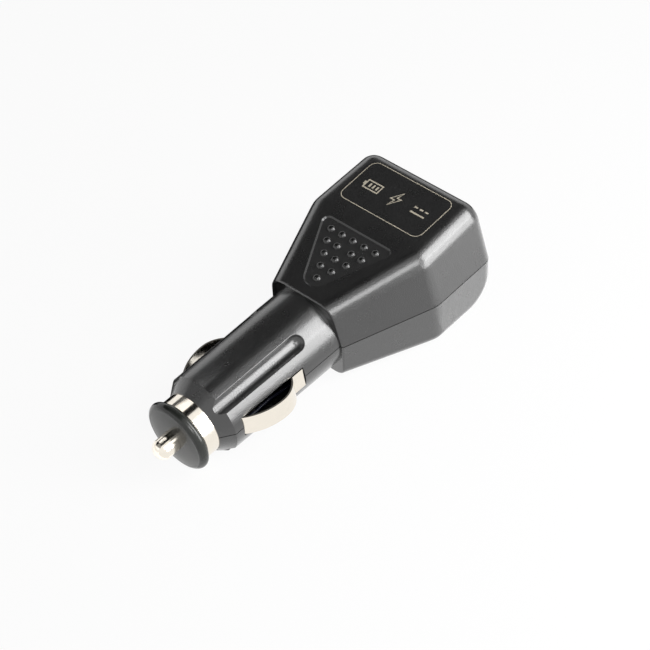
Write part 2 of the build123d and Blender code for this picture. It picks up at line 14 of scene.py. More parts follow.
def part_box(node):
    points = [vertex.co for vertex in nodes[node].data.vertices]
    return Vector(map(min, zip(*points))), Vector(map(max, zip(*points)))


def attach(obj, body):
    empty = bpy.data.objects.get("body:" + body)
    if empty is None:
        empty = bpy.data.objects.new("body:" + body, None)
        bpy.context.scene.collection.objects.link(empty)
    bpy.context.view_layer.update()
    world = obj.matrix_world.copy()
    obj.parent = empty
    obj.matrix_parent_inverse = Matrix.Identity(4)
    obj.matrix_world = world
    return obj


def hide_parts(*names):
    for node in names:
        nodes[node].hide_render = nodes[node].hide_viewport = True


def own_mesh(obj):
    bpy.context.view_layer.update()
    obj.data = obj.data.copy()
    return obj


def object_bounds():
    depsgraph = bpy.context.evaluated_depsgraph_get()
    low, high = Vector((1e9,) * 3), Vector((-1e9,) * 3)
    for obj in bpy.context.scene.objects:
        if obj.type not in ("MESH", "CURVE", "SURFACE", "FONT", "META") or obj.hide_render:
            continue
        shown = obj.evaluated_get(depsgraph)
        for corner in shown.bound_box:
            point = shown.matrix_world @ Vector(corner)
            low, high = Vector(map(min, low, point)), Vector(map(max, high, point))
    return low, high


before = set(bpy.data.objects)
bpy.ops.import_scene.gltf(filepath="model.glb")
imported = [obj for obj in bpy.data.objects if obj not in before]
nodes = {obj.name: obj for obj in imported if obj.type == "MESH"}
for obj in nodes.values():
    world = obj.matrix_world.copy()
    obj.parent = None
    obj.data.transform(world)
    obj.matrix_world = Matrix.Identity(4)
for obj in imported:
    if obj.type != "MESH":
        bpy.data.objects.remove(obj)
cad_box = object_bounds()

bl_info = {
    "name": "Car charger plug",
    "version": (1, 0, 0),
    "blender": (4, 5, 0),
    "location": "View3D > Sidebar > Charger plug",
    "description": "Dresses the parts of a car charger plug, prints its label and sets the stage",
    "category": "Object",
}

MM = 0.001


def colour_property(name, description, default):
    """A linear colour with three channels."""
    return FloatVectorProperty(
        name=name, description=description, default=default, subtype="COLOR", size=3, min=0.0, max=1.0
    )


def length_property(name, description, default):
    """A length in metres."""
    return FloatProperty(
        name=name, description=description, default=default, unit="LENGTH", precision=5, min=0.0
    )


def power_property(name, description, default):
    """The power of a light in watts."""
    return FloatProperty(name=name, description=description, default=default, unit="POWER", min=0.0)


class ShellFinish(bpy.types.PropertyGroup):
    """Moulded plastic of the two shells and of the nose disc."""

    colour: colour_property("Colour", "Body colour of the moulded shells", (0.01, 0.01, 0.01))
    grain: length_property("Grain", "Size of one pit of the moulded grain", 0.28 * MM)
    grain_depth: length_property("Grain depth", "Depth of the moulded grain", 0.045 * MM)
    panel: colour_property("Panel", "Colour of the grip panel's floor", (0.022, 0.022, 0.022))
    disc: colour_property("Disc", "Colour of the nose disc", (0.022, 0.024, 0.021))


class MetalFinish(bpy.types.PropertyGroup):
    """Plated and bare metals."""

    nickel: colour_property("Nickel", "Colour of the bright plating", (0.93, 0.87, 0.77))
    steel: colour_property("Steel", "Colour of bare spring steel and tin plate", (0.62, 0.62, 0.63))
    brass: colour_property("Brass", "Colour of the stamped terminal", (0.72, 0.52, 0.22))
    gold: colour_property("Gold", "Colour of the socket's contacts", (0.83, 0.62, 0.25))
    copper: colour_property("Copper", "Colour of the coil's winding", (0.68, 0.30, 0.16))
    line_gap: length_property("Tool lines", "Distance between the fine turned or drawn lines", 0.12 * MM)


class LabelPrint(bpy.types.PropertyGroup):
    """Printed frame and signs on the roof of the head."""

    ink: colour_property("Ink", "Colour of the printed lines", (0.66, 0.60, 0.48))
    front_x: length_property("Front", "Frame's front line, from the head's front face", 25.8 * MM)
    rear_x: length_property("Rear", "Frame's rear line, from the head's front face", 38.7 * MM)
    half_width: length_property("Half width", "Half of the frame's width", 12.5 * MM)
    corner: length_property("Corner", "Radius of the frame's corners", 2.0 * MM)
    line: length_property("Line", "Width of the frame's line", 0.19 * MM)
    ink_height: length_property("Ink height", "Thickness of the ink on the plastic", 0.008 * MM)


class SpringCoil(bpy.types.PropertyGroup):
    """Coil spring behind the fuse."""

    turns: IntProperty(name="Turns", description="Number of turns", default=5, min=1)
    wire: length_property("Wire", "Diameter of the spring wire", 0.5 * MM)
    travel: length_property("Travel", "How far the nose pin pushes the spring together", 3.0 * MM)


class SocketLeaves(bpy.types.PropertyGroup):
    """Leaf springs that hold a plug in the outlet socket."""

    wall: length_property("Wall", "Thickness of the socket's sheet", 0.3 * MM)
    inset: length_property("Inset", "Distance of a leaf's root from the socket's mouth", 1.6 * MM)
    length: length_property("Length", "Length of a leaf", 6.4 * MM)
    width: length_property("Width", "Width of a leaf", 2.0 * MM)
    spread: length_property("Spread", "Distance between two leaves side by side", 6.0 * MM)
    bow: length_property("Bow", "How far a leaf stands off its wall", 0.5 * MM)
    thickness: length_property("Thickness", "Thickness of a leaf", 0.16 * MM)


class BoardFinish(bpy.types.PropertyGroup):
    """Circuit board and the parts on it."""

    resist: colour_property("Resist", "Colour of the board's solder resist", (0.012, 0.09, 0.035))
    track: colour_property("Track", "Colour of the resist over copper", (0.03, 0.17, 0.06))
    sleeve: colour_property("Sleeve", "Colour of the shrunk sleeves", (0.012, 0.014, 0.03))
    resin: colour_property("Resin", "Colour of the moulded chips", (0.02, 0.02, 0.021))
    ferrite: colour_property("Ferrite", "Colour of the coil's core", (0.045, 0.045, 0.048))
    tongue: colour_property("Tongue", "Colour of the socket's tongue", (0.78, 0.78, 0.75))
    ceramic: colour_property("Ceramic", "Colour of the smallest parts", (0.30, 0.22, 0.15))
    tin: colour_property("Tin", "Colour of tinned legs", (0.72, 0.72, 0.71))
    can: colour_property("Can", "Colour of a can's bare top", (0.75, 0.75, 0.76))
    stripe: colour_property("Stripe", "Colour of the stripe down a can's sleeve", (0.55, 0.56, 0.58))
    pitch: length_property("Pitch", "Distance between tracks", 1.27 * MM)
    wire: length_property("Wire", "Diameter of the coil's wire", 0.35 * MM)


class StageSet(bpy.types.PropertyGroup):
    """Floor, lights and camera."""

    floor_colour: colour_property("Floor", "Colour of the floor", (0.9, 0.9, 0.9))
    key_light: power_property("Key", "Power of the light on the right", 0.66)
    low_light: power_property("Low", "Power of the low light beside the barrel", 0.62)
    front_light: power_property("Front", "Power of the light in front of the nose", 0.68)
    back_light: power_property("Back", "Power of the dim light above and behind", 0.055)
    left_light: power_property("Left", "Power of the dim light on the left", 0.15)
    sky: FloatProperty(name="Sky", description="Strength of the even light all round", default=0.07, min=0.0)
    lens: FloatProperty(
        name="Lens", description="Focal length", default=135.365, unit="CAMERA", subtype="DISTANCE_CAMERA"
    )


# Node helpers

def new_finish(name):
    """A new material, its node tree and its main shader."""
    material = bpy.data.materials.new(name)
    material.use_nodes = True
    tree = material.node_tree
    return material, tree, tree.nodes["Principled BSDF"]


def add_node(tree, kind, inputs, **settings):
    """Adds a node, sets its options and its sockets; a socket given as an output is linked."""
    made = tree.nodes.new(kind)
    for key, value in settings.items():
        setattr(made, key, value)
    for key, value in inputs.items():
        if isinstance(value, bpy.types.NodeSocket):
            tree.links.new(value, made.inputs[key])
        else:
            made.inputs[key].default_value = value
    return made


def set_shader(tree, shader, **inputs):
    """Sets sockets of a shader by name, with underscores for spaces."""
    for key, value in inputs.items():
        socket = shader.inputs[key.replace("_", " ")]
        if isinstance(value, bpy.types.NodeSocket):
            tree.links.new(value, socket)
        else:
            socket.default_value = value


def rgba(colour):
    """A colour with full opacity."""
    return (*colour, 1.0)


def shaded(colour, factor):
    """A colour made darker or lighter by a factor."""
    return tuple(min(1.0, channel * factor) for channel in colour)


def place(tree, scale=(1.0, 1.0, 1.0), location=(0.0, 0.0, 0.0)):
    """Object coordinates, stretched and shifted."""
    source = add_node(tree, "ShaderNodeTexCoord", {})
    mapped = add_node(
        tree,
        "ShaderNodeMapping",
        {"Vector": source.outputs["Object"], "Scale": scale, "Location": location},
    )
    return mapped.outputs["Vector"]


def axes(tree, vector):
    """The three parts of a vector."""
    return add_node(tree, "ShaderNodeSeparateXYZ", {"Vector": vector}).outputs


def math_node(tree, operation, first, second=0.0):
    """One sum, product or comparison of two numbers."""
    return add_node(tree, "ShaderNodeMath", {0: first, 1: second}, operation=operation).outputs["Value"]


def noise(tree, vector, size, detail=2.0):
    """Soft random pattern whose spots are about as large as size."""
    made = add_node(tree, "ShaderNodeTexNoise", {"Vector": vector, "Scale": 1.0 / size, "Detail": detail})
    return made.outputs["Fac"]


def ranged(tree, value, low, high, start=0.3, end=0.7):
    """Maps the range from start to end of a pattern to low and high."""
    made = add_node(
        tree,
        "ShaderNodeMapRange",
        {"Value": value, "From Min": start, "From Max": end, "To Min": low, "To Max": high},
    )
    return made.outputs["Result"]


def tinted(tree, value, dark, light):
    """Blends two colours, each given as a colour or as an output, by a pattern."""
    made = add_node(tree, "ShaderNodeMix", {"Factor": value}, data_type="RGBA")
    for key, colour in (("A", dark), ("B", light)):
        socket = next(s for s in made.inputs if s.name == key and s.type == "RGBA")
        if isinstance(colour, bpy.types.NodeSocket):
            tree.links.new(colour, socket)
        else:
            socket.default_value = rgba(colour)
    return next(s for s in made.outputs if s.type == "RGBA")


def blended(tree, value, low, high):
    """Blends two numbers or outputs by a pattern."""
    made = add_node(tree, "ShaderNodeMix", {"Factor": value, "A": low, "B": high}, data_type="FLOAT")
    return made.outputs["Result"]


def relief(tree, height, depth):
    """Bump from a pattern, as deep as depth."""
    made = add_node(tree, "ShaderNodeBump", {"Height": height, "Strength": 1.0, "Distance": depth})
    return made.outputs["Normal"]


def dress(names, material):
    """Gives the named parts one material."""
    for name in names:
        for slot in nodes[name].material_slots:
            slot.material = material


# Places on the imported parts

def roof_height(x, y):
    """Height of the upper shell's outside above the point x, y."""
    above = Vector((x, y, 2.0 * cad_box[1][2]))
    down = Vector((0.0, 0.0, -1.0))
    hit, spot, _, _ = nodes["upper_shell"].ray_cast(above, down)
    if not hit:
        raise RuntimeError("no roof under the label")
    return spot.z


def roof_line(start, end):
    """Height at x = 0 and slope of the roof's plane, from two points x, y on it."""
    start_z, end_z = roof_height(*start), roof_height(*end)
    slope = (end_z - start_z) / (end[0] - start[0])
    return start_z - slope * start[0], slope


# Finishes

PANEL_POINTS = ((1.6 * MM, 0.0), (10.0 * MM, 7.2 * MM))
PANEL_FRONT = 1.2 * MM
PANEL_REAR = 20.7 * MM
PANEL_SPREAD = 0.523
PANEL_MARGIN = 2.3 * MM
PANEL_SUNK = 0.1 * MM
DOME_RISE = 0.02 * MM
DOME_TILT = 0.97


def grip_masks(tree):
    """Where the grip panel's floor is, and where its domes and its walls are.

    Both lie in a triangle that spreads from the head's front. The floor is sunk below the roof's
    plane; a dome either stands above that plane or has its surface tilted against it.
    """
    height, slope = roof_line(*PANEL_POINTS)
    up = Vector((-slope, 0.0, 1.0)).normalized()
    source = add_node(tree, "ShaderNodeTexCoord", {})
    x, y, _ = axes(tree, source.outputs["Object"])
    half_width = math_node(tree, "MULTIPLY", x, PANEL_SPREAD)
    spread = math_node(tree, "SUBTRACT", math_node(tree, "ABSOLUTE", y), half_width)
    lengthwise = math_node(
        tree,
        "MULTIPLY",
        math_node(tree, "LESS_THAN", x, PANEL_REAR),
        math_node(tree, "GREATER_THAN", x, PANEL_FRONT),
    )
    within = math_node(tree, "MULTIPLY", lengthwise, math_node(tree, "LESS_THAN", spread, PANEL_MARGIN))
    level = add_node(
        tree, "ShaderNodeVectorMath", {0: source.outputs["Object"], 1: up}, operation="DOT_PRODUCT"
    )
    rise = math_node(tree, "SUBTRACT", level.outputs["Value"], height * up.z)
    facing = add_node(
        tree, "ShaderNodeVectorMath", {0: source.outputs["Normal"], 1: up}, operation="DOT_PRODUCT"
    )
    tilted = math_node(tree, "LESS_THAN", facing.outputs["Value"], DOME_TILT)
    domes = math_node(
        tree,
        "MULTIPLY",
        within,
        math_node(tree, "MAXIMUM", tilted, math_node(tree, "GREATER_THAN", rise, DOME_RISE)),
    )
    sunk = math_node(tree, "MULTIPLY", within, math_node(tree, "LESS_THAN", rise, -PANEL_SUNK))
    return sunk, domes


def shell_plastic(style):
    """Black moulded plastic with a fine eroded grain, a lighter colour on the grip panel's floor, bare on
    its domes.
    """
    material, tree, shader = new_finish("shell_plastic_finish")
    where = place(tree)
    grain = noise(tree, where, style.grain, detail=0.0)
    cloud = noise(tree, where, 5.0 * MM, detail=3.0)
    sunk, domes = grip_masks(tree)
    body = tinted(tree, cloud, shaded(style.colour, 0.85), shaded(style.colour, 1.2))
    panel = tinted(tree, sunk, body, style.panel)
    polish = ranged(tree, cloud, 0.26, 0.32)
    bare = math_node(tree, "SUBTRACT", 1.0, domes)
    set_shader(
        tree,
        shader,
        # painted shade: the domes get a darker copy of the body colour, 0.7 of it, for the dark look of
        # their polished faces
        Base_Color=tinted(tree, domes, panel, shaded(style.colour, 0.7)),
        Roughness=blended(tree, domes, polish, 0.2),
        Normal=relief(tree, math_node(tree, "MULTIPLY", grain, bare), style.grain_depth),
        Specular_IOR_Level=0.7,
        Coat_Weight=bare,
        Coat_Roughness=0.2,
        Coat_IOR=1.5,
    )
    return material


def disc_plastic(colour):
    """Hard dark plastic with a smooth, faintly pitted skin."""
    material, tree, shader = new_finish("nose_disc_finish")
    where = place(tree)
    skin = noise(tree, where, 0.5 * MM, detail=2.0)
    cloud = noise(tree, where, 3.0 * MM)
    set_shader(
        tree,
        shader,
        Base_Color=tinted(tree, cloud, shaded(colour, 0.85), shaded(colour, 1.15)),
        Roughness=ranged(tree, skin, 0.16, 0.24),
        Normal=relief(tree, skin, 0.006 * MM),
    )
    return material


def plated_metal(name, colour, stretch, line_gap, low=0.08, high=0.18):
    """Bright plating over fine tool lines that run across the axis left unstretched."""
    material, tree, shader = new_finish(name)
    lines = noise(tree, place(tree, scale=stretch), line_gap, detail=3.0)
    cloud = noise(tree, place(tree), 2.0 * MM)
    set_shader(
        tree,
        shader,
        Metallic=1.0,
        Base_Color=tinted(tree, cloud, shaded(colour, 0.94), colour),
        Roughness=ranged(tree, lines, low, high),
        Normal=relief(tree, lines, 0.004 * MM),
    )
    return material


def matt_resin(name, colour, spot, depth, roughness, variation=0.12):
    """Plain moulded resin or ceramic with a faint cloudy colour and a fine skin."""
    material, tree, shader = new_finish(name)
    where = place(tree)
    skin = noise(tree, where, spot, detail=3.0)
    cloud = noise(tree, where, 8.0 * spot)
    set_shader(
        tree,
        shader,
        Base_Color=tinted(tree, cloud, shaded(colour, 1.0 - variation), shaded(colour, 1.0 + variation)),
        Roughness=ranged(tree, skin, roughness - 0.05, roughness + 0.05),
        Normal=relief(tree, skin, depth),
    )
    return material


def fuse_glass():
    """Clear drawn glass with faint streaks along the tube."""
    material, tree, shader = new_finish("fuse_glass_finish")
    streaks = noise(tree, place(tree, scale=(0.05, 1.0, 1.0)), 0.5 * MM)
    set_shader(
        tree,
        shader,
        Base_Color=tinted(tree, streaks, (0.9, 0.94, 0.92), (0.97, 0.99, 0.98)),
        Roughness=ranged(tree, streaks, 0.01, 0.05),
        Transmission_Weight=1.0,
        IOR=1.5,
    )
    return material


def printed_ink(colour):
    """Matt gold ink, a little uneven where it was stamped."""
    material, tree, shader = new_finish("label_ink_finish")
    where = place(tree)
    wear = noise(tree, where, 0.5 * MM, detail=4.0)
    set_shader(
        tree,
        shader,
        Base_Color=tinted(tree, wear, shaded(colour, 0.8), colour),
        Metallic=0.1,
        Roughness=ranged(tree, wear, 0.42, 0.55),
        Normal=relief(tree, noise(tree, where, 0.2 * MM), 0.006 * MM),
    )
    return material


def board_resist(style):
    """Green resist over straight copper tracks, which show paler through it."""
    material, tree, shader = new_finish("board_resist_finish")
    tracks = add_node(
        tree,
        "ShaderNodeTexBrick",
        {
            "Vector": place(tree),
            "Scale": 1.0 / style.pitch,
            "Mortar Size": 0.12,
            "Color1": rgba(style.resist),
            "Color2": rgba(shaded(style.resist, 1.15)),
            "Mortar": rgba(style.track),
            "Brick Width": 4.0,
            "Row Height": 1.0,
        },
    )
    weave = noise(tree, place(tree), 0.4 * MM)
    set_shader(
        tree,
        shader,
        Base_Color=tracks.outputs["Color"],
        Roughness=ranged(tree, weave, 0.3, 0.42),
        Normal=relief(tree, tracks.outputs["Fac"], 0.03 * MM),
    )
    return material


def banded_can(name, style, node):
    """Shrunk sleeve on a can: bare metal on top, and a pale stripe down one side."""
    low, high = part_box(node)
    middle = (low + high) / 2.0
    material, tree, shader = new_finish(name)
    where = place(tree, location=(-middle.x, -middle.y, -high.z))
    x, _, z = axes(tree, where)
    top = math_node(tree, "GREATER_THAN", z, -0.2 * MM)
    stripe = math_node(tree, "GREATER_THAN", x, 0.85 * (high.x - middle.x))
    skin = noise(tree, where, 0.3 * MM)
    sleeve = tinted(tree, skin, shaded(style.sleeve, 0.85), shaded(style.sleeve, 1.15))
    striped = tinted(tree, stripe, sleeve, style.stripe)
    set_shader(
        tree,
        shader,
        Base_Color=tinted(tree, top, striped, style.can),
        Metallic=top,
        Roughness=ranged(tree, skin, 0.25, 0.36),
        Normal=relief(tree, skin, 0.008 * MM),
    )
    return material


def legged_chip(name, colour, tin, node, axis, reach):
    """Moulded chip whose legs, further than reach from its middle along an axis, are tinned."""
    low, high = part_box(node)
    middle = (low + high) / 2.0
    material, tree, shader = new_finish(name)
    where = place(tree, location=-middle)
    along = axes(tree, where)[axis]
    legs = math_node(tree, "GREATER_THAN", math_node(tree, "ABSOLUTE", along), reach)
    skin = noise(tree, where, 0.15 * MM, detail=3.0)
    resin = tinted(tree, skin, shaded(colour, 0.85), shaded(colour, 1.2))
    set_shader(
        tree,
        shader,
        Base_Color=tinted(tree, legs, resin, tin),
        Metallic=legs,
        Roughness=ranged(tree, skin, 0.38, 0.52),
        Normal=relief(tree, skin, 0.006 * MM),
    )
    return material


# Tinned legs: finish, axis along which they stand out and distance from the middle at which they start
LEGS = {
    "controller_chip": ("chip_finish", 1, 1.96 * MM),
    "rectifier_diode": ("diode_finish", 0, 2.16 * MM),
    "chip_parts": ("chip_parts_finish", 1, 0.5 * MM),
}


def wound_copper(colour, wire):
    """Lacquered copper wire wound in level turns: bands across the upright axis, with painted shade
    darkening the copper in the grooves between the turns.
    """
    material, tree, shader = new_finish("winding_finish")
    turns = add_node(
        tree,
        "ShaderNodeTexWave",
        {"Vector": place(tree), "Scale": 1.0 / wire / math.pi, "Distortion": 0.15},
        bands_direction="Z",
    )
    set_shader(
        tree,
        shader,
        Metallic=0.85,
        # painted shade: the copper darkens to 0.55 of its colour in the grooves between the turns
        Base_Color=tinted(tree, turns.outputs["Fac"], shaded(colour, 0.55), colour),
        Roughness=ranged(tree, turns.outputs["Fac"], 0.32, 0.22),
        Normal=relief(tree, turns.outputs["Fac"], 0.05 * MM),
    )
    return material


# Shapes

def carry(path, side, up, profile, closed):
    """A profile carried along a path: each corner of the profile is moved from each point of the
    path by its first number along side and its second along up. Neighbouring corners of
    neighbouring points make the faces; an open path is closed by one face at each end.
    """
    count, corners = len(path), len(profile)
    points = (
        path[:, None, :]
        + profile[None, :, 0, None] * side[:, None, :]
        + profile[None, :, 1, None] * up[:, None, :]
    )
    index = np.arange(count * corners).reshape(count, corners)
    after = np.roll(index, -1, axis=0)
    if not closed:
        index, after = index[:-1], after[:-1]
    beside = np.roll(index, -1, axis=1)
    beside_after = np.roll(after, -1, axis=1)
    faces = np.stack([index, beside, beside_after, after], axis=-1).reshape(-1, 4).tolist()
    if not closed:
        faces.append(list(range(corners))[::-1])
        faces.append(list(range((count - 1) * corners, count * corners)))
    return points.reshape(-1, 3), faces


def new_piece(name, shapes, material, body, smooth=False):
    """One object from several point and face lists, riding on a body."""
    points, faces, start = [], [], 0
    for shape_points, shape_faces in shapes:
        points.append(shape_points)
        faces += [[corner + start for corner in face] for face in shape_faces]
        start += len(shape_points)
    mesh = bpy.data.meshes.new(name)
    mesh.from_pydata(np.concatenate(points).tolist(), [], faces)
    mesh.materials.append(material)
    mesh.polygons.foreach_set("use_smooth", np.full(len(mesh.polygons), smooth))
    piece = bpy.data.objects.new(name, mesh)
    bpy.context.scene.collection.objects.link(piece)
    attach(piece, body)
    return piece


MITRE_LIMIT = 2.0


def stroke(outline, width, closed, ground):
    """A printed line: a flat strip of even width carried along a plane outline, with mitred corners,
    half of its height below the roof.

    At each corner the side vector is the sum of the two neighbouring normals, stretched so that
    the strip keeps its width. ground gives the point on the roof for a point of the outline.
    """
    run = np.roll(outline, -1, axis=0) - outline
    if not closed:
        run[-1] = run[-2]
    run /= np.linalg.norm(run, axis=1, keepdims=True)
    normal = np.stack([-run[:, 1], run[:, 0]], axis=1)
    before = np.roll(normal, 1, axis=0)
    if not closed:
        before[0] = normal[0]
    mitre = normal + before
    stretch = np.einsum("ij,ij->i", mitre, normal)[:, None]
    mitre /= np.maximum(stretch, np.linalg.norm(mitre, axis=1, keepdims=True) / MITRE_LIMIT)
    path, along, across, up, height = ground(outline)
    side = mitre[:, :1] * along + mitre[:, 1:] * across
    lift = np.broadcast_to(up, path.shape)
    half = width / 2.0
    profile = np.array([[-half, -height], [-half, height], [half, height], [half, -height]])
    return carry(path, side, lift, profile, closed)


def rounded_rectangle(half_u, half_v, corner, steps=8):
    """Outline of a rectangle whose four corners are quarter circles: each corner's middle plus its
    radius times the cosine and sine of an angle that turns on through one quarter after the other.
    """
    quarter = math.pi / 2.0
    turn = np.linspace(0.0, quarter, steps) + quarter * np.arange(4)[:, None]
    arcs = corner * np.stack([np.cos(turn), np.sin(turn)], axis=-1)
    flips = np.array([[1.0, 1.0], [-1.0, 1.0], [-1.0, -1.0], [1.0, -1.0]])
    middles = flips * np.array([half_u - corner, half_v - corner])
    return (middles[:, None, :] + arcs).reshape(-1, 2)


# Signs of the label, in millimetres about each sign's middle: width, closed or open, and corners
DIRECT_CURRENT = [
    (0.42, False, [(-2.1, 0.9), (2.1, 0.9)]),
    (0.42, False, [(-2.1, -0.7), (-1.1, -0.7)]),
    (0.42, False, [(-0.5, -0.7), (0.5, -0.7)]),
    (0.42, False, [(1.1, -0.7), (2.1, -0.7)]),
]
BOLT = [(0.3, True, [(0.6, 2.4), (-1.3, -0.4), (-0.1, -0.4), (-0.6, -2.4), (1.3, 0.4), (0.1, 0.4)])]
BATTERY = [
    (0.34, True, [(-2.2, -1.2), (2.2, -1.2), (2.2, 1.2), (-2.2, 1.2)]),
    (0.5, False, [(2.6, -0.5), (2.6, 0.5)]),
    (0.5, False, [(-1.3, -0.6), (-1.3, 0.6)]),
    (0.5, False, [(-0.2, -0.6), (-0.2, 0.6)]),
    (0.5, False, [(0.9, -0.6), (0.9, 0.6)]),
]
SIGNS = [(-7.4, DIRECT_CURRENT), (0.0, BOLT), (7.2, BATTERY)]


def label_shapes(style):
    """The frame and the signs, as strokes on the plane of the roof behind its bend.

    The outline's first number runs to +Y and its second to -X, so the label is read from the rear.
    """
    middle_x = (style.front_x + style.rear_x) / 2.0
    height, slope = roof_line((style.front_x, 0.0), (middle_x, 0.0))
    up = np.array([-slope, 0.0, 1.0]) / math.hypot(1.0, slope)
    along = np.array([0.0, 1.0, 0.0])
    across = np.array([-up[2], 0.0, up[0]])
    origin = np.array([middle_x, 0.0, height + slope * middle_x])

    def ground(outline):
        path = origin + outline[:, :1] * along + outline[:, 1:] * across
        return path, along, across, up, style.ink_height

    half_v = (style.rear_x - style.front_x) / 2.0
    shapes = [stroke(rounded_rectangle(style.half_width, half_v, style.corner), style.line, True, ground)]
    for middle_y, sign in SIGNS:
        for width, closed, corners in sign:
            outline = (np.array(corners) + np.array([middle_y, 0.0])) * MM
            shapes.append(stroke(outline, width * MM, closed, ground))
    return shapes


def coil_shape(low, high, style, steps=48, corners=12):
    """A helix along X carrying a round wire: a point of the centre line turns at an even rate about
    the X axis while it moves from the front end to the rear end of the box.
    """
    wire_r = style.wire / 2.0
    radius = (high.y - low.y) / 2.0 - wire_r
    share = np.linspace(0.0, 1.0, style.turns * steps + 1)
    angle = 2.0 * math.pi * style.turns * share
    start, end = low.x + wire_r, high.x - wire_r
    zero = np.zeros_like(share)
    out = np.stack([zero, np.cos(angle), np.sin(angle)], axis=1)
    path = radius * out + np.stack([start + (end - start) * share, zero, zero], axis=1)
    pitch = (end - start) / (2.0 * math.pi * style.turns * radius)
    lean = np.stack([zero + 1.0, pitch * np.sin(angle), -pitch * np.cos(angle)], axis=1)
    lean /= math.hypot(1.0, pitch)
    turn = np.linspace(0.0, 2.0 * math.pi, corners, endpoint=False)
    profile = wire_r * np.stack([np.cos(turn), np.sin(turn)], axis=1)
    return carry(path, out, lean, profile, False)


def leaf_shape(mouth_x, middle_y, wall_z, inward, style, steps=24):
    """One leaf spring: a flat strip carried along half a wave that starts and ends on the wall.

    The strip's middle line stands off the wall by the bow times the sine of the way along it.
    """
    share = np.linspace(0.0, 1.0, steps + 1)
    zero = np.zeros_like(share)
    offset = inward * (style.bow * np.sin(math.pi * share) - style.thickness / 2.0)
    path = np.stack([mouth_x - style.inset - style.length * share, zero + middle_y, wall_z + offset], axis=1)
    side = np.stack([zero, zero - inward, zero], axis=1)
    up = np.stack([zero, zero, zero + inward], axis=1)
    half_w, half_t = style.width / 2.0, style.thickness / 2.0
    profile = np.array([[-half_w, -half_t], [half_w, -half_t], [half_w, half_t], [-half_w, half_t]])
    return carry(path, side, up, profile, False)


# Operators

class CHARGER_OT_shells(bpy.types.Operator):
    """Gives both shells their grained black plastic"""

    bl_idname = "charger.shells"
    bl_label = "Dress the shells"

    def execute(self, context):
        dress(["upper_shell", "lower_shell"], shell_plastic(context.scene.charger_shell))
        return {"FINISHED"}


class CHARGER_OT_label(bpy.types.Operator):
    """Prints the frame and the signs on the roof"""

    bl_idname = "charger.label"
    bl_label = "Print the label"

    def execute(self, context):
        style = context.scene.charger_label
        label = new_piece("label_print", label_shapes(style), printed_ink(style.ink), "body")
        return {"FINISHED"}


class CHARGER_OT_nose(bpy.types.Operator):
    """Gives the nose pin, collar and disc their finishes"""

    bl_idname = "charger.nose"
    bl_label = "Dress the nose"

    def execute(self, context):
        metal = context.scene.charger_metal
        disc = context.scene.charger_shell.disc
        turned = plated_metal("turned_nickel", metal.nickel, (1.0, 0.02, 0.02), metal.line_gap)
        dress(["nose_collar", "center_pin"], turned)
        dress(["nose_disc"], disc_plastic(disc))
        return {"FINISHED"}


class CHARGER_OT_contacts(bpy.types.Operator):
    """Gives the bowed side contacts their drawn plating and the ground leads their sleeves"""

    bl_idname = "charger.contacts"
    bl_label = "Dress the side contacts"

    def execute(self, context):
        metal = context.scene.charger_metal
        sleeve = context.scene.charger_board.sleeve
        drawn = plated_metal("drawn_nickel", metal.nickel, (0.03, 1.0, 1.0), metal.line_gap)
        dress(["left_contact", "right_contact"], drawn)
        dress(["ground_wires"], matt_resin("lead_sleeve_finish", sleeve, 0.2 * MM, 0.005 * MM, 0.35))
        return {"FINISHED"}


class CHARGER_OT_fuse(bpy.types.Operator):
    """Dresses the glass fuse and its terminal, and winds the coil spring between them"""

    bl_idname = "charger.fuse"
    bl_label = "Dress the fuse and wind its spring"

    def execute(self, context):
        metal = context.scene.charger_metal
        coil = context.scene.charger_spring
        gap = metal.line_gap
        caps = plated_metal("pressed_nickel", metal.nickel, (1.0, 0.1, 0.1), gap)
        wire = plated_metal("fuse_wire_finish", metal.steel, (0.05, 1.0, 1.0), gap, 0.25, 0.4)
        brass = plated_metal("stamped_brass", metal.brass, (1.0, 1.0, 0.05), gap, 0.22, 0.36)
        dress(["fuse_front_cap", "fuse_rear_cap"], caps)
        dress(["fuse_tube"], fuse_glass())
        dress(["fuse_wire"], wire)
        dress(["supply_terminal"], brass)
        low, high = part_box("contact_spring")
        steel = plated_metal("spring_steel_finish", metal.steel, (1.0, 0.1, 0.1), gap, 0.2, 0.34)
        spring = new_piece("spring_coil", [coil_shape(low, high, coil)], steel, "body", smooth=True)
        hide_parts("contact_spring")
        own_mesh(spring)
        return {"FINISHED"}


class CHARGER_OT_socket(bpy.types.Operator):
    """Dresses the outlet socket and sets the leaf springs in its shell"""

    bl_idname = "charger.socket"
    bl_label = "Dress the socket and set its leaves"

    def execute(self, context):
        metal = context.scene.charger_metal
        board = context.scene.charger_board
        style = context.scene.charger_leaves
        tin = plated_metal("socket_tin_finish", metal.steel, (0.04, 1.0, 1.0), metal.line_gap, 0.2, 0.34)
        dress(["usb_shell"], tin)
        gold = plated_metal("contact_gold_finish", metal.gold, (0.05, 1.0, 1.0), metal.line_gap)
        dress(["usb_contacts"], gold)
        dress(["usb_tongue"], matt_resin("tongue_finish", board.tongue, 0.2 * MM, 0.006 * MM, 0.42, 0.04))
        low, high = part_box("usb_shell")
        shapes = [
            leaf_shape(high.x, side * style.spread / 2.0, wall, inward, style)
            for wall, inward in ((high.z - style.wall, -1.0), (low.z + style.wall, 1.0))
            for side in (-1.0, 1.0)
        ]
        leaves = new_piece("socket_leaves", shapes, tin, "body")
        return {"FINISHED"}


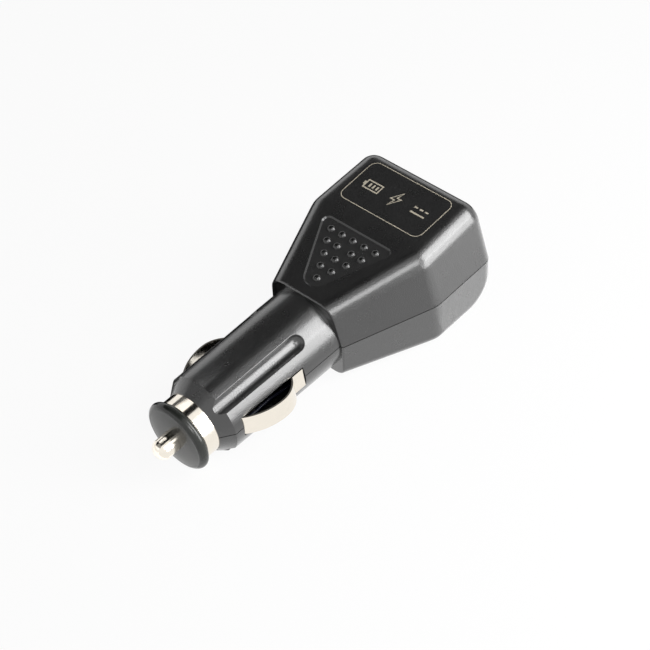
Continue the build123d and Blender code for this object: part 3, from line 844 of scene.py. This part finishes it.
class CHARGER_OT_board(bpy.types.Operator):
    """Dresses the circuit board and the parts that stand on it"""

    bl_idname = "charger.board"
    bl_label = "Dress the board"

    def execute(self, context):
        board = context.scene.charger_board
        copper = context.scene.charger_metal.copper
        dress(["circuit_board"], board_resist(board))
        for name in ("input_capacitor", "output_capacitor"):
            dress([name], banded_can(f"{name}_sleeve", board, name))
        dress(["inductor_core"], matt_resin("ferrite_finish", board.ferrite, 0.2 * MM, 0.01 * MM, 0.55))
        dress(["inductor_winding"], wound_copper(copper, board.wire))
        for name, (finish, axis, reach) in LEGS.items():
            colour = board.ceramic if name == "chip_parts" else board.resin
            dress([name], legged_chip(finish, colour, board.tin, name, axis, reach))
        return {"FINISHED"}


class CHARGER_OT_stage(bpy.types.Operator):
    """Sets the floor under the resting plug, the light round it and the camera"""

    bl_idname = "charger.stage"
    bl_label = "Set the stage"

    def execute(self, context):
        stage = context.scene.charger_stage
        context.scene.view_settings.view_transform = "Standard"
        build_floor(stage)
        build_sky(stage)
        build_lights(stage)
        build_cards()
        build_camera(stage)
        return {"FINISHED"}


# Stage

FLOOR_HALF = 3.0
REST_FRONT = (-32.8 * MM, -10.16 * MM)
REST_BACK = (22.4 * MM, -13.1 * MM)
FLOOR_WHITE = 0.93
# Cards seen only in mirrors and through glass, as painted reflections: the black ones paint shade into
# reflections, the glowing white ones paint bright reflections. Columns: colour, glow, reach along x and
# along y, height over the floor
CARDS = {
    # painted shade: a black sheet on the floor beside the left side, where the plug's shadow falls, seen
    # only in reflections
    "black_card": (0.01, 0.0, (-34.0 * MM, 0.4), (8.0 * MM, 0.4), 0.05 * MM),
    # painted reflection: a glowing sheet on the floor before the nose
    "white_card": (0.9, 0.7, (-0.3, -36.0 * MM), (-4.0 * MM, 0.3), 0.05 * MM),
    # painted reflection: a glowing sheet on the floor beside the rear
    "rear_card": (0.9, 0.45, (26.0 * MM, 0.3), (-0.3, -13.0 * MM), 0.05 * MM),
    # painted shade: a black sheet overhead, seen only in reflections
    "sky_card": (0.01, 0.0, (-0.75, 0.9), (-0.1, 1.2), 0.6),
    # painted reflection: a glowing sheet over the collar
    "collar_card": (0.9, 0.85, (-24.0 * MM, -12.0 * MM), (9.0 * MM, 60.0 * MM), 65.0 * MM),
}
# Soft lights, named as their powers: way from the plug, distance, width and height
LIGHTS = {
    "key_light": ((0.5, -0.7, 0.64), 0.32, 0.17, 0.17),
    "low_light": ((0.38, -0.92, 0.18), 0.3, 0.2, 0.16),
    "front_light": ((-0.25, -0.75, 0.72), 0.5, 0.2, 0.2),
    "back_light": ((0.41, 0.48, 0.68), 0.5, 0.5, 0.4),
    "left_light": ((-0.7, 0.3, 0.7), 0.5, 0.4, 0.4),
}
CAMERA_PLACE = (-234.856 * MM, -312.418 * MM, 393.0 * MM)
CAMERA_AIM = (3.008 * MM, -2.604 * MM, -0.232 * MM)
CAMERA_ROLL = math.radians(-11.608)


def floor_sheet(name, reach_x, reach_y, lift):
    """A flat sheet on the plane through the two lines on which the plug rests, nose down."""
    (front_x, front_z), (back_x, back_z) = REST_FRONT, REST_BACK
    slope = (back_z - front_z) / (back_x - front_x)
    x, y = (grid.ravel() for grid in np.meshgrid(reach_x, reach_y, indexing="ij"))
    z = front_z + slope * (x - front_x) + lift
    mesh = bpy.data.meshes.new(name)
    mesh.from_pydata(np.stack([x, y, z], axis=1).tolist(), [], [(0, 2, 3, 1)])
    sheet = bpy.data.objects.new(name, mesh)
    bpy.context.scene.collection.objects.link(sheet)
    return sheet


def seen_as_white(tree):
    """One for the rays that see the background: from the camera, mirrored or through glass."""
    path = add_node(tree, "ShaderNodeLightPath", {})
    mirrored = math_node(tree, "MAXIMUM", path.outputs["Is Glossy Ray"], path.outputs["Is Transmission Ray"])
    return math_node(tree, "MAXIMUM", path.outputs["Is Camera Ray"], mirrored)


def build_floor(stage):
    """A large pale floor that keeps the plug's shadow and is nearly white where it is seen."""
    floor = floor_sheet("floor", (-FLOOR_HALF, FLOOR_HALF), (-FLOOR_HALF, FLOOR_HALF), 0.0)
    material, tree, shader = new_finish("floor_white")
    set_shader(tree, shader, Base_Color=rgba(stage.floor_colour), Roughness=0.9, Specular_IOR_Level=0.0)
    glow = add_node(tree, "ShaderNodeEmission", {"Color": (1.0, 1.0, 1.0, 1.0), "Strength": 1.0})
    share = math_node(tree, "MULTIPLY", seen_as_white(tree), FLOOR_WHITE)
    blend = add_node(tree, "ShaderNodeMixShader", {0: share, 1: shader.outputs[0], 2: glow.outputs[0]})
    tree.links.new(blend.outputs[0], tree.nodes["Material Output"].inputs["Surface"])
    floor.data.materials.append(material)


def build_cards():
    """Cards that neither camera nor soft light sees, only mirrors and glass, as painted reflections:
    black ones beside the left side and overhead paint shade into the reflections, and glowing white ones
    before the nose, beside the rear and over the collar paint bright reflections.
    """
    for name, (colour, glow, reach_x, reach_y, lift) in CARDS.items():
        card = floor_sheet(name, reach_x, reach_y, lift)
        material, tree, shader = new_finish(name)
        set_shader(
            tree,
            shader,
            Base_Color=(colour, colour, colour, 1.0),
            Emission_Color=(1.0, 1.0, 1.0, 1.0),
            Emission_Strength=glow,
            Roughness=1.0,
            Specular_IOR_Level=0.0,
        )
        card.data.materials.append(material)
        card.visible_camera = False
        card.visible_diffuse = False
        card.visible_shadow = False


def build_sky(stage):
    """Even light from all round, white where it is seen."""
    world = bpy.data.worlds.new("studio")
    world.use_nodes = True
    tree = world.node_tree
    sky = tree.nodes["Background"]
    sky.inputs["Strength"].default_value = stage.sky
    sky.inputs["Color"].default_value = (1.0, 1.0, 1.0, 1.0)
    white = add_node(tree, "ShaderNodeBackground", {"Color": (1.0, 1.0, 1.0, 1.0), "Strength": 1.0})
    blend = add_node(
        tree,
        "ShaderNodeMixShader",
        {0: seen_as_white(tree), 1: sky.outputs[0], 2: white.outputs[0]},
    )
    tree.links.new(blend.outputs[0], tree.nodes["World Output"].inputs["Surface"])
    bpy.context.scene.world = world


def build_lights(stage):
    """Soft square lights, each turned to the plug."""
    for name, (way, distance, width, height) in LIGHTS.items():
        lamp = bpy.data.lights.new(name, "AREA")
        lamp.shape = "RECTANGLE"
        lamp.size = width
        lamp.size_y = height
        lamp.energy = getattr(stage, name)
        light = bpy.data.objects.new(name, lamp)
        toward = Vector(way).normalized()
        light.location = toward * distance
        light.rotation_euler = toward.to_track_quat("Z", "Y").to_euler()
        bpy.context.scene.collection.objects.link(light)


def build_camera(stage):
    """A long lens at the height and turn of the product view."""
    data = bpy.data.cameras.new("camera")
    data.sensor_width = 36.0
    data.lens = stage.lens
    camera = bpy.data.objects.new("camera", data)
    eye = Vector(CAMERA_PLACE)
    look = (Vector(CAMERA_AIM) - eye).to_track_quat("-Z", "Y")
    turn = look.to_matrix().to_4x4() @ Matrix.Rotation(CAMERA_ROLL, 4, "Z")
    camera.matrix_world = Matrix.Translation(eye) @ turn
    bpy.context.scene.collection.objects.link(camera)
    bpy.context.scene.camera = camera


class CHARGER_PT_panel(bpy.types.Panel):
    """Lists the steps that dress the plug"""

    bl_idname = "CHARGER_PT_panel"
    bl_label = "Charger plug"
    bl_space_type = "VIEW_3D"
    bl_region_type = "UI"
    bl_category = "Charger plug"

    def draw(self, context):
        for operator in OPERATORS:
            self.layout.operator(operator.bl_idname)


GROUPS = {
    "charger_shell": ShellFinish,
    "charger_metal": MetalFinish,
    "charger_label": LabelPrint,
    "charger_spring": SpringCoil,
    "charger_leaves": SocketLeaves,
    "charger_board": BoardFinish,
    "charger_stage": StageSet,
}
OPERATORS = (
    CHARGER_OT_shells,
    CHARGER_OT_label,
    CHARGER_OT_nose,
    CHARGER_OT_contacts,
    CHARGER_OT_fuse,
    CHARGER_OT_socket,
    CHARGER_OT_board,
    CHARGER_OT_stage,
)


def register():
    for cls in (*GROUPS.values(), *OPERATORS, CHARGER_PT_panel):
        bpy.utils.register_class(cls)
    for key, cls in GROUPS.items():
        setattr(bpy.types.Scene, key, PointerProperty(type=cls))


def unregister():
    for key in GROUPS:
        delattr(bpy.types.Scene, key)
    for cls in (CHARGER_PT_panel, *reversed(OPERATORS), *GROUPS.values()):
        bpy.utils.unregister_class(cls)


def main():
    register()
    bpy.ops.charger.shells()
    bpy.ops.charger.label()
    bpy.ops.charger.nose()
    bpy.ops.charger.contacts()
    bpy.ops.charger.fuse()
    bpy.ops.charger.socket()
    bpy.ops.charger.board()
    bpy.ops.charger.stage()


if __name__ == "__main__":
    main()
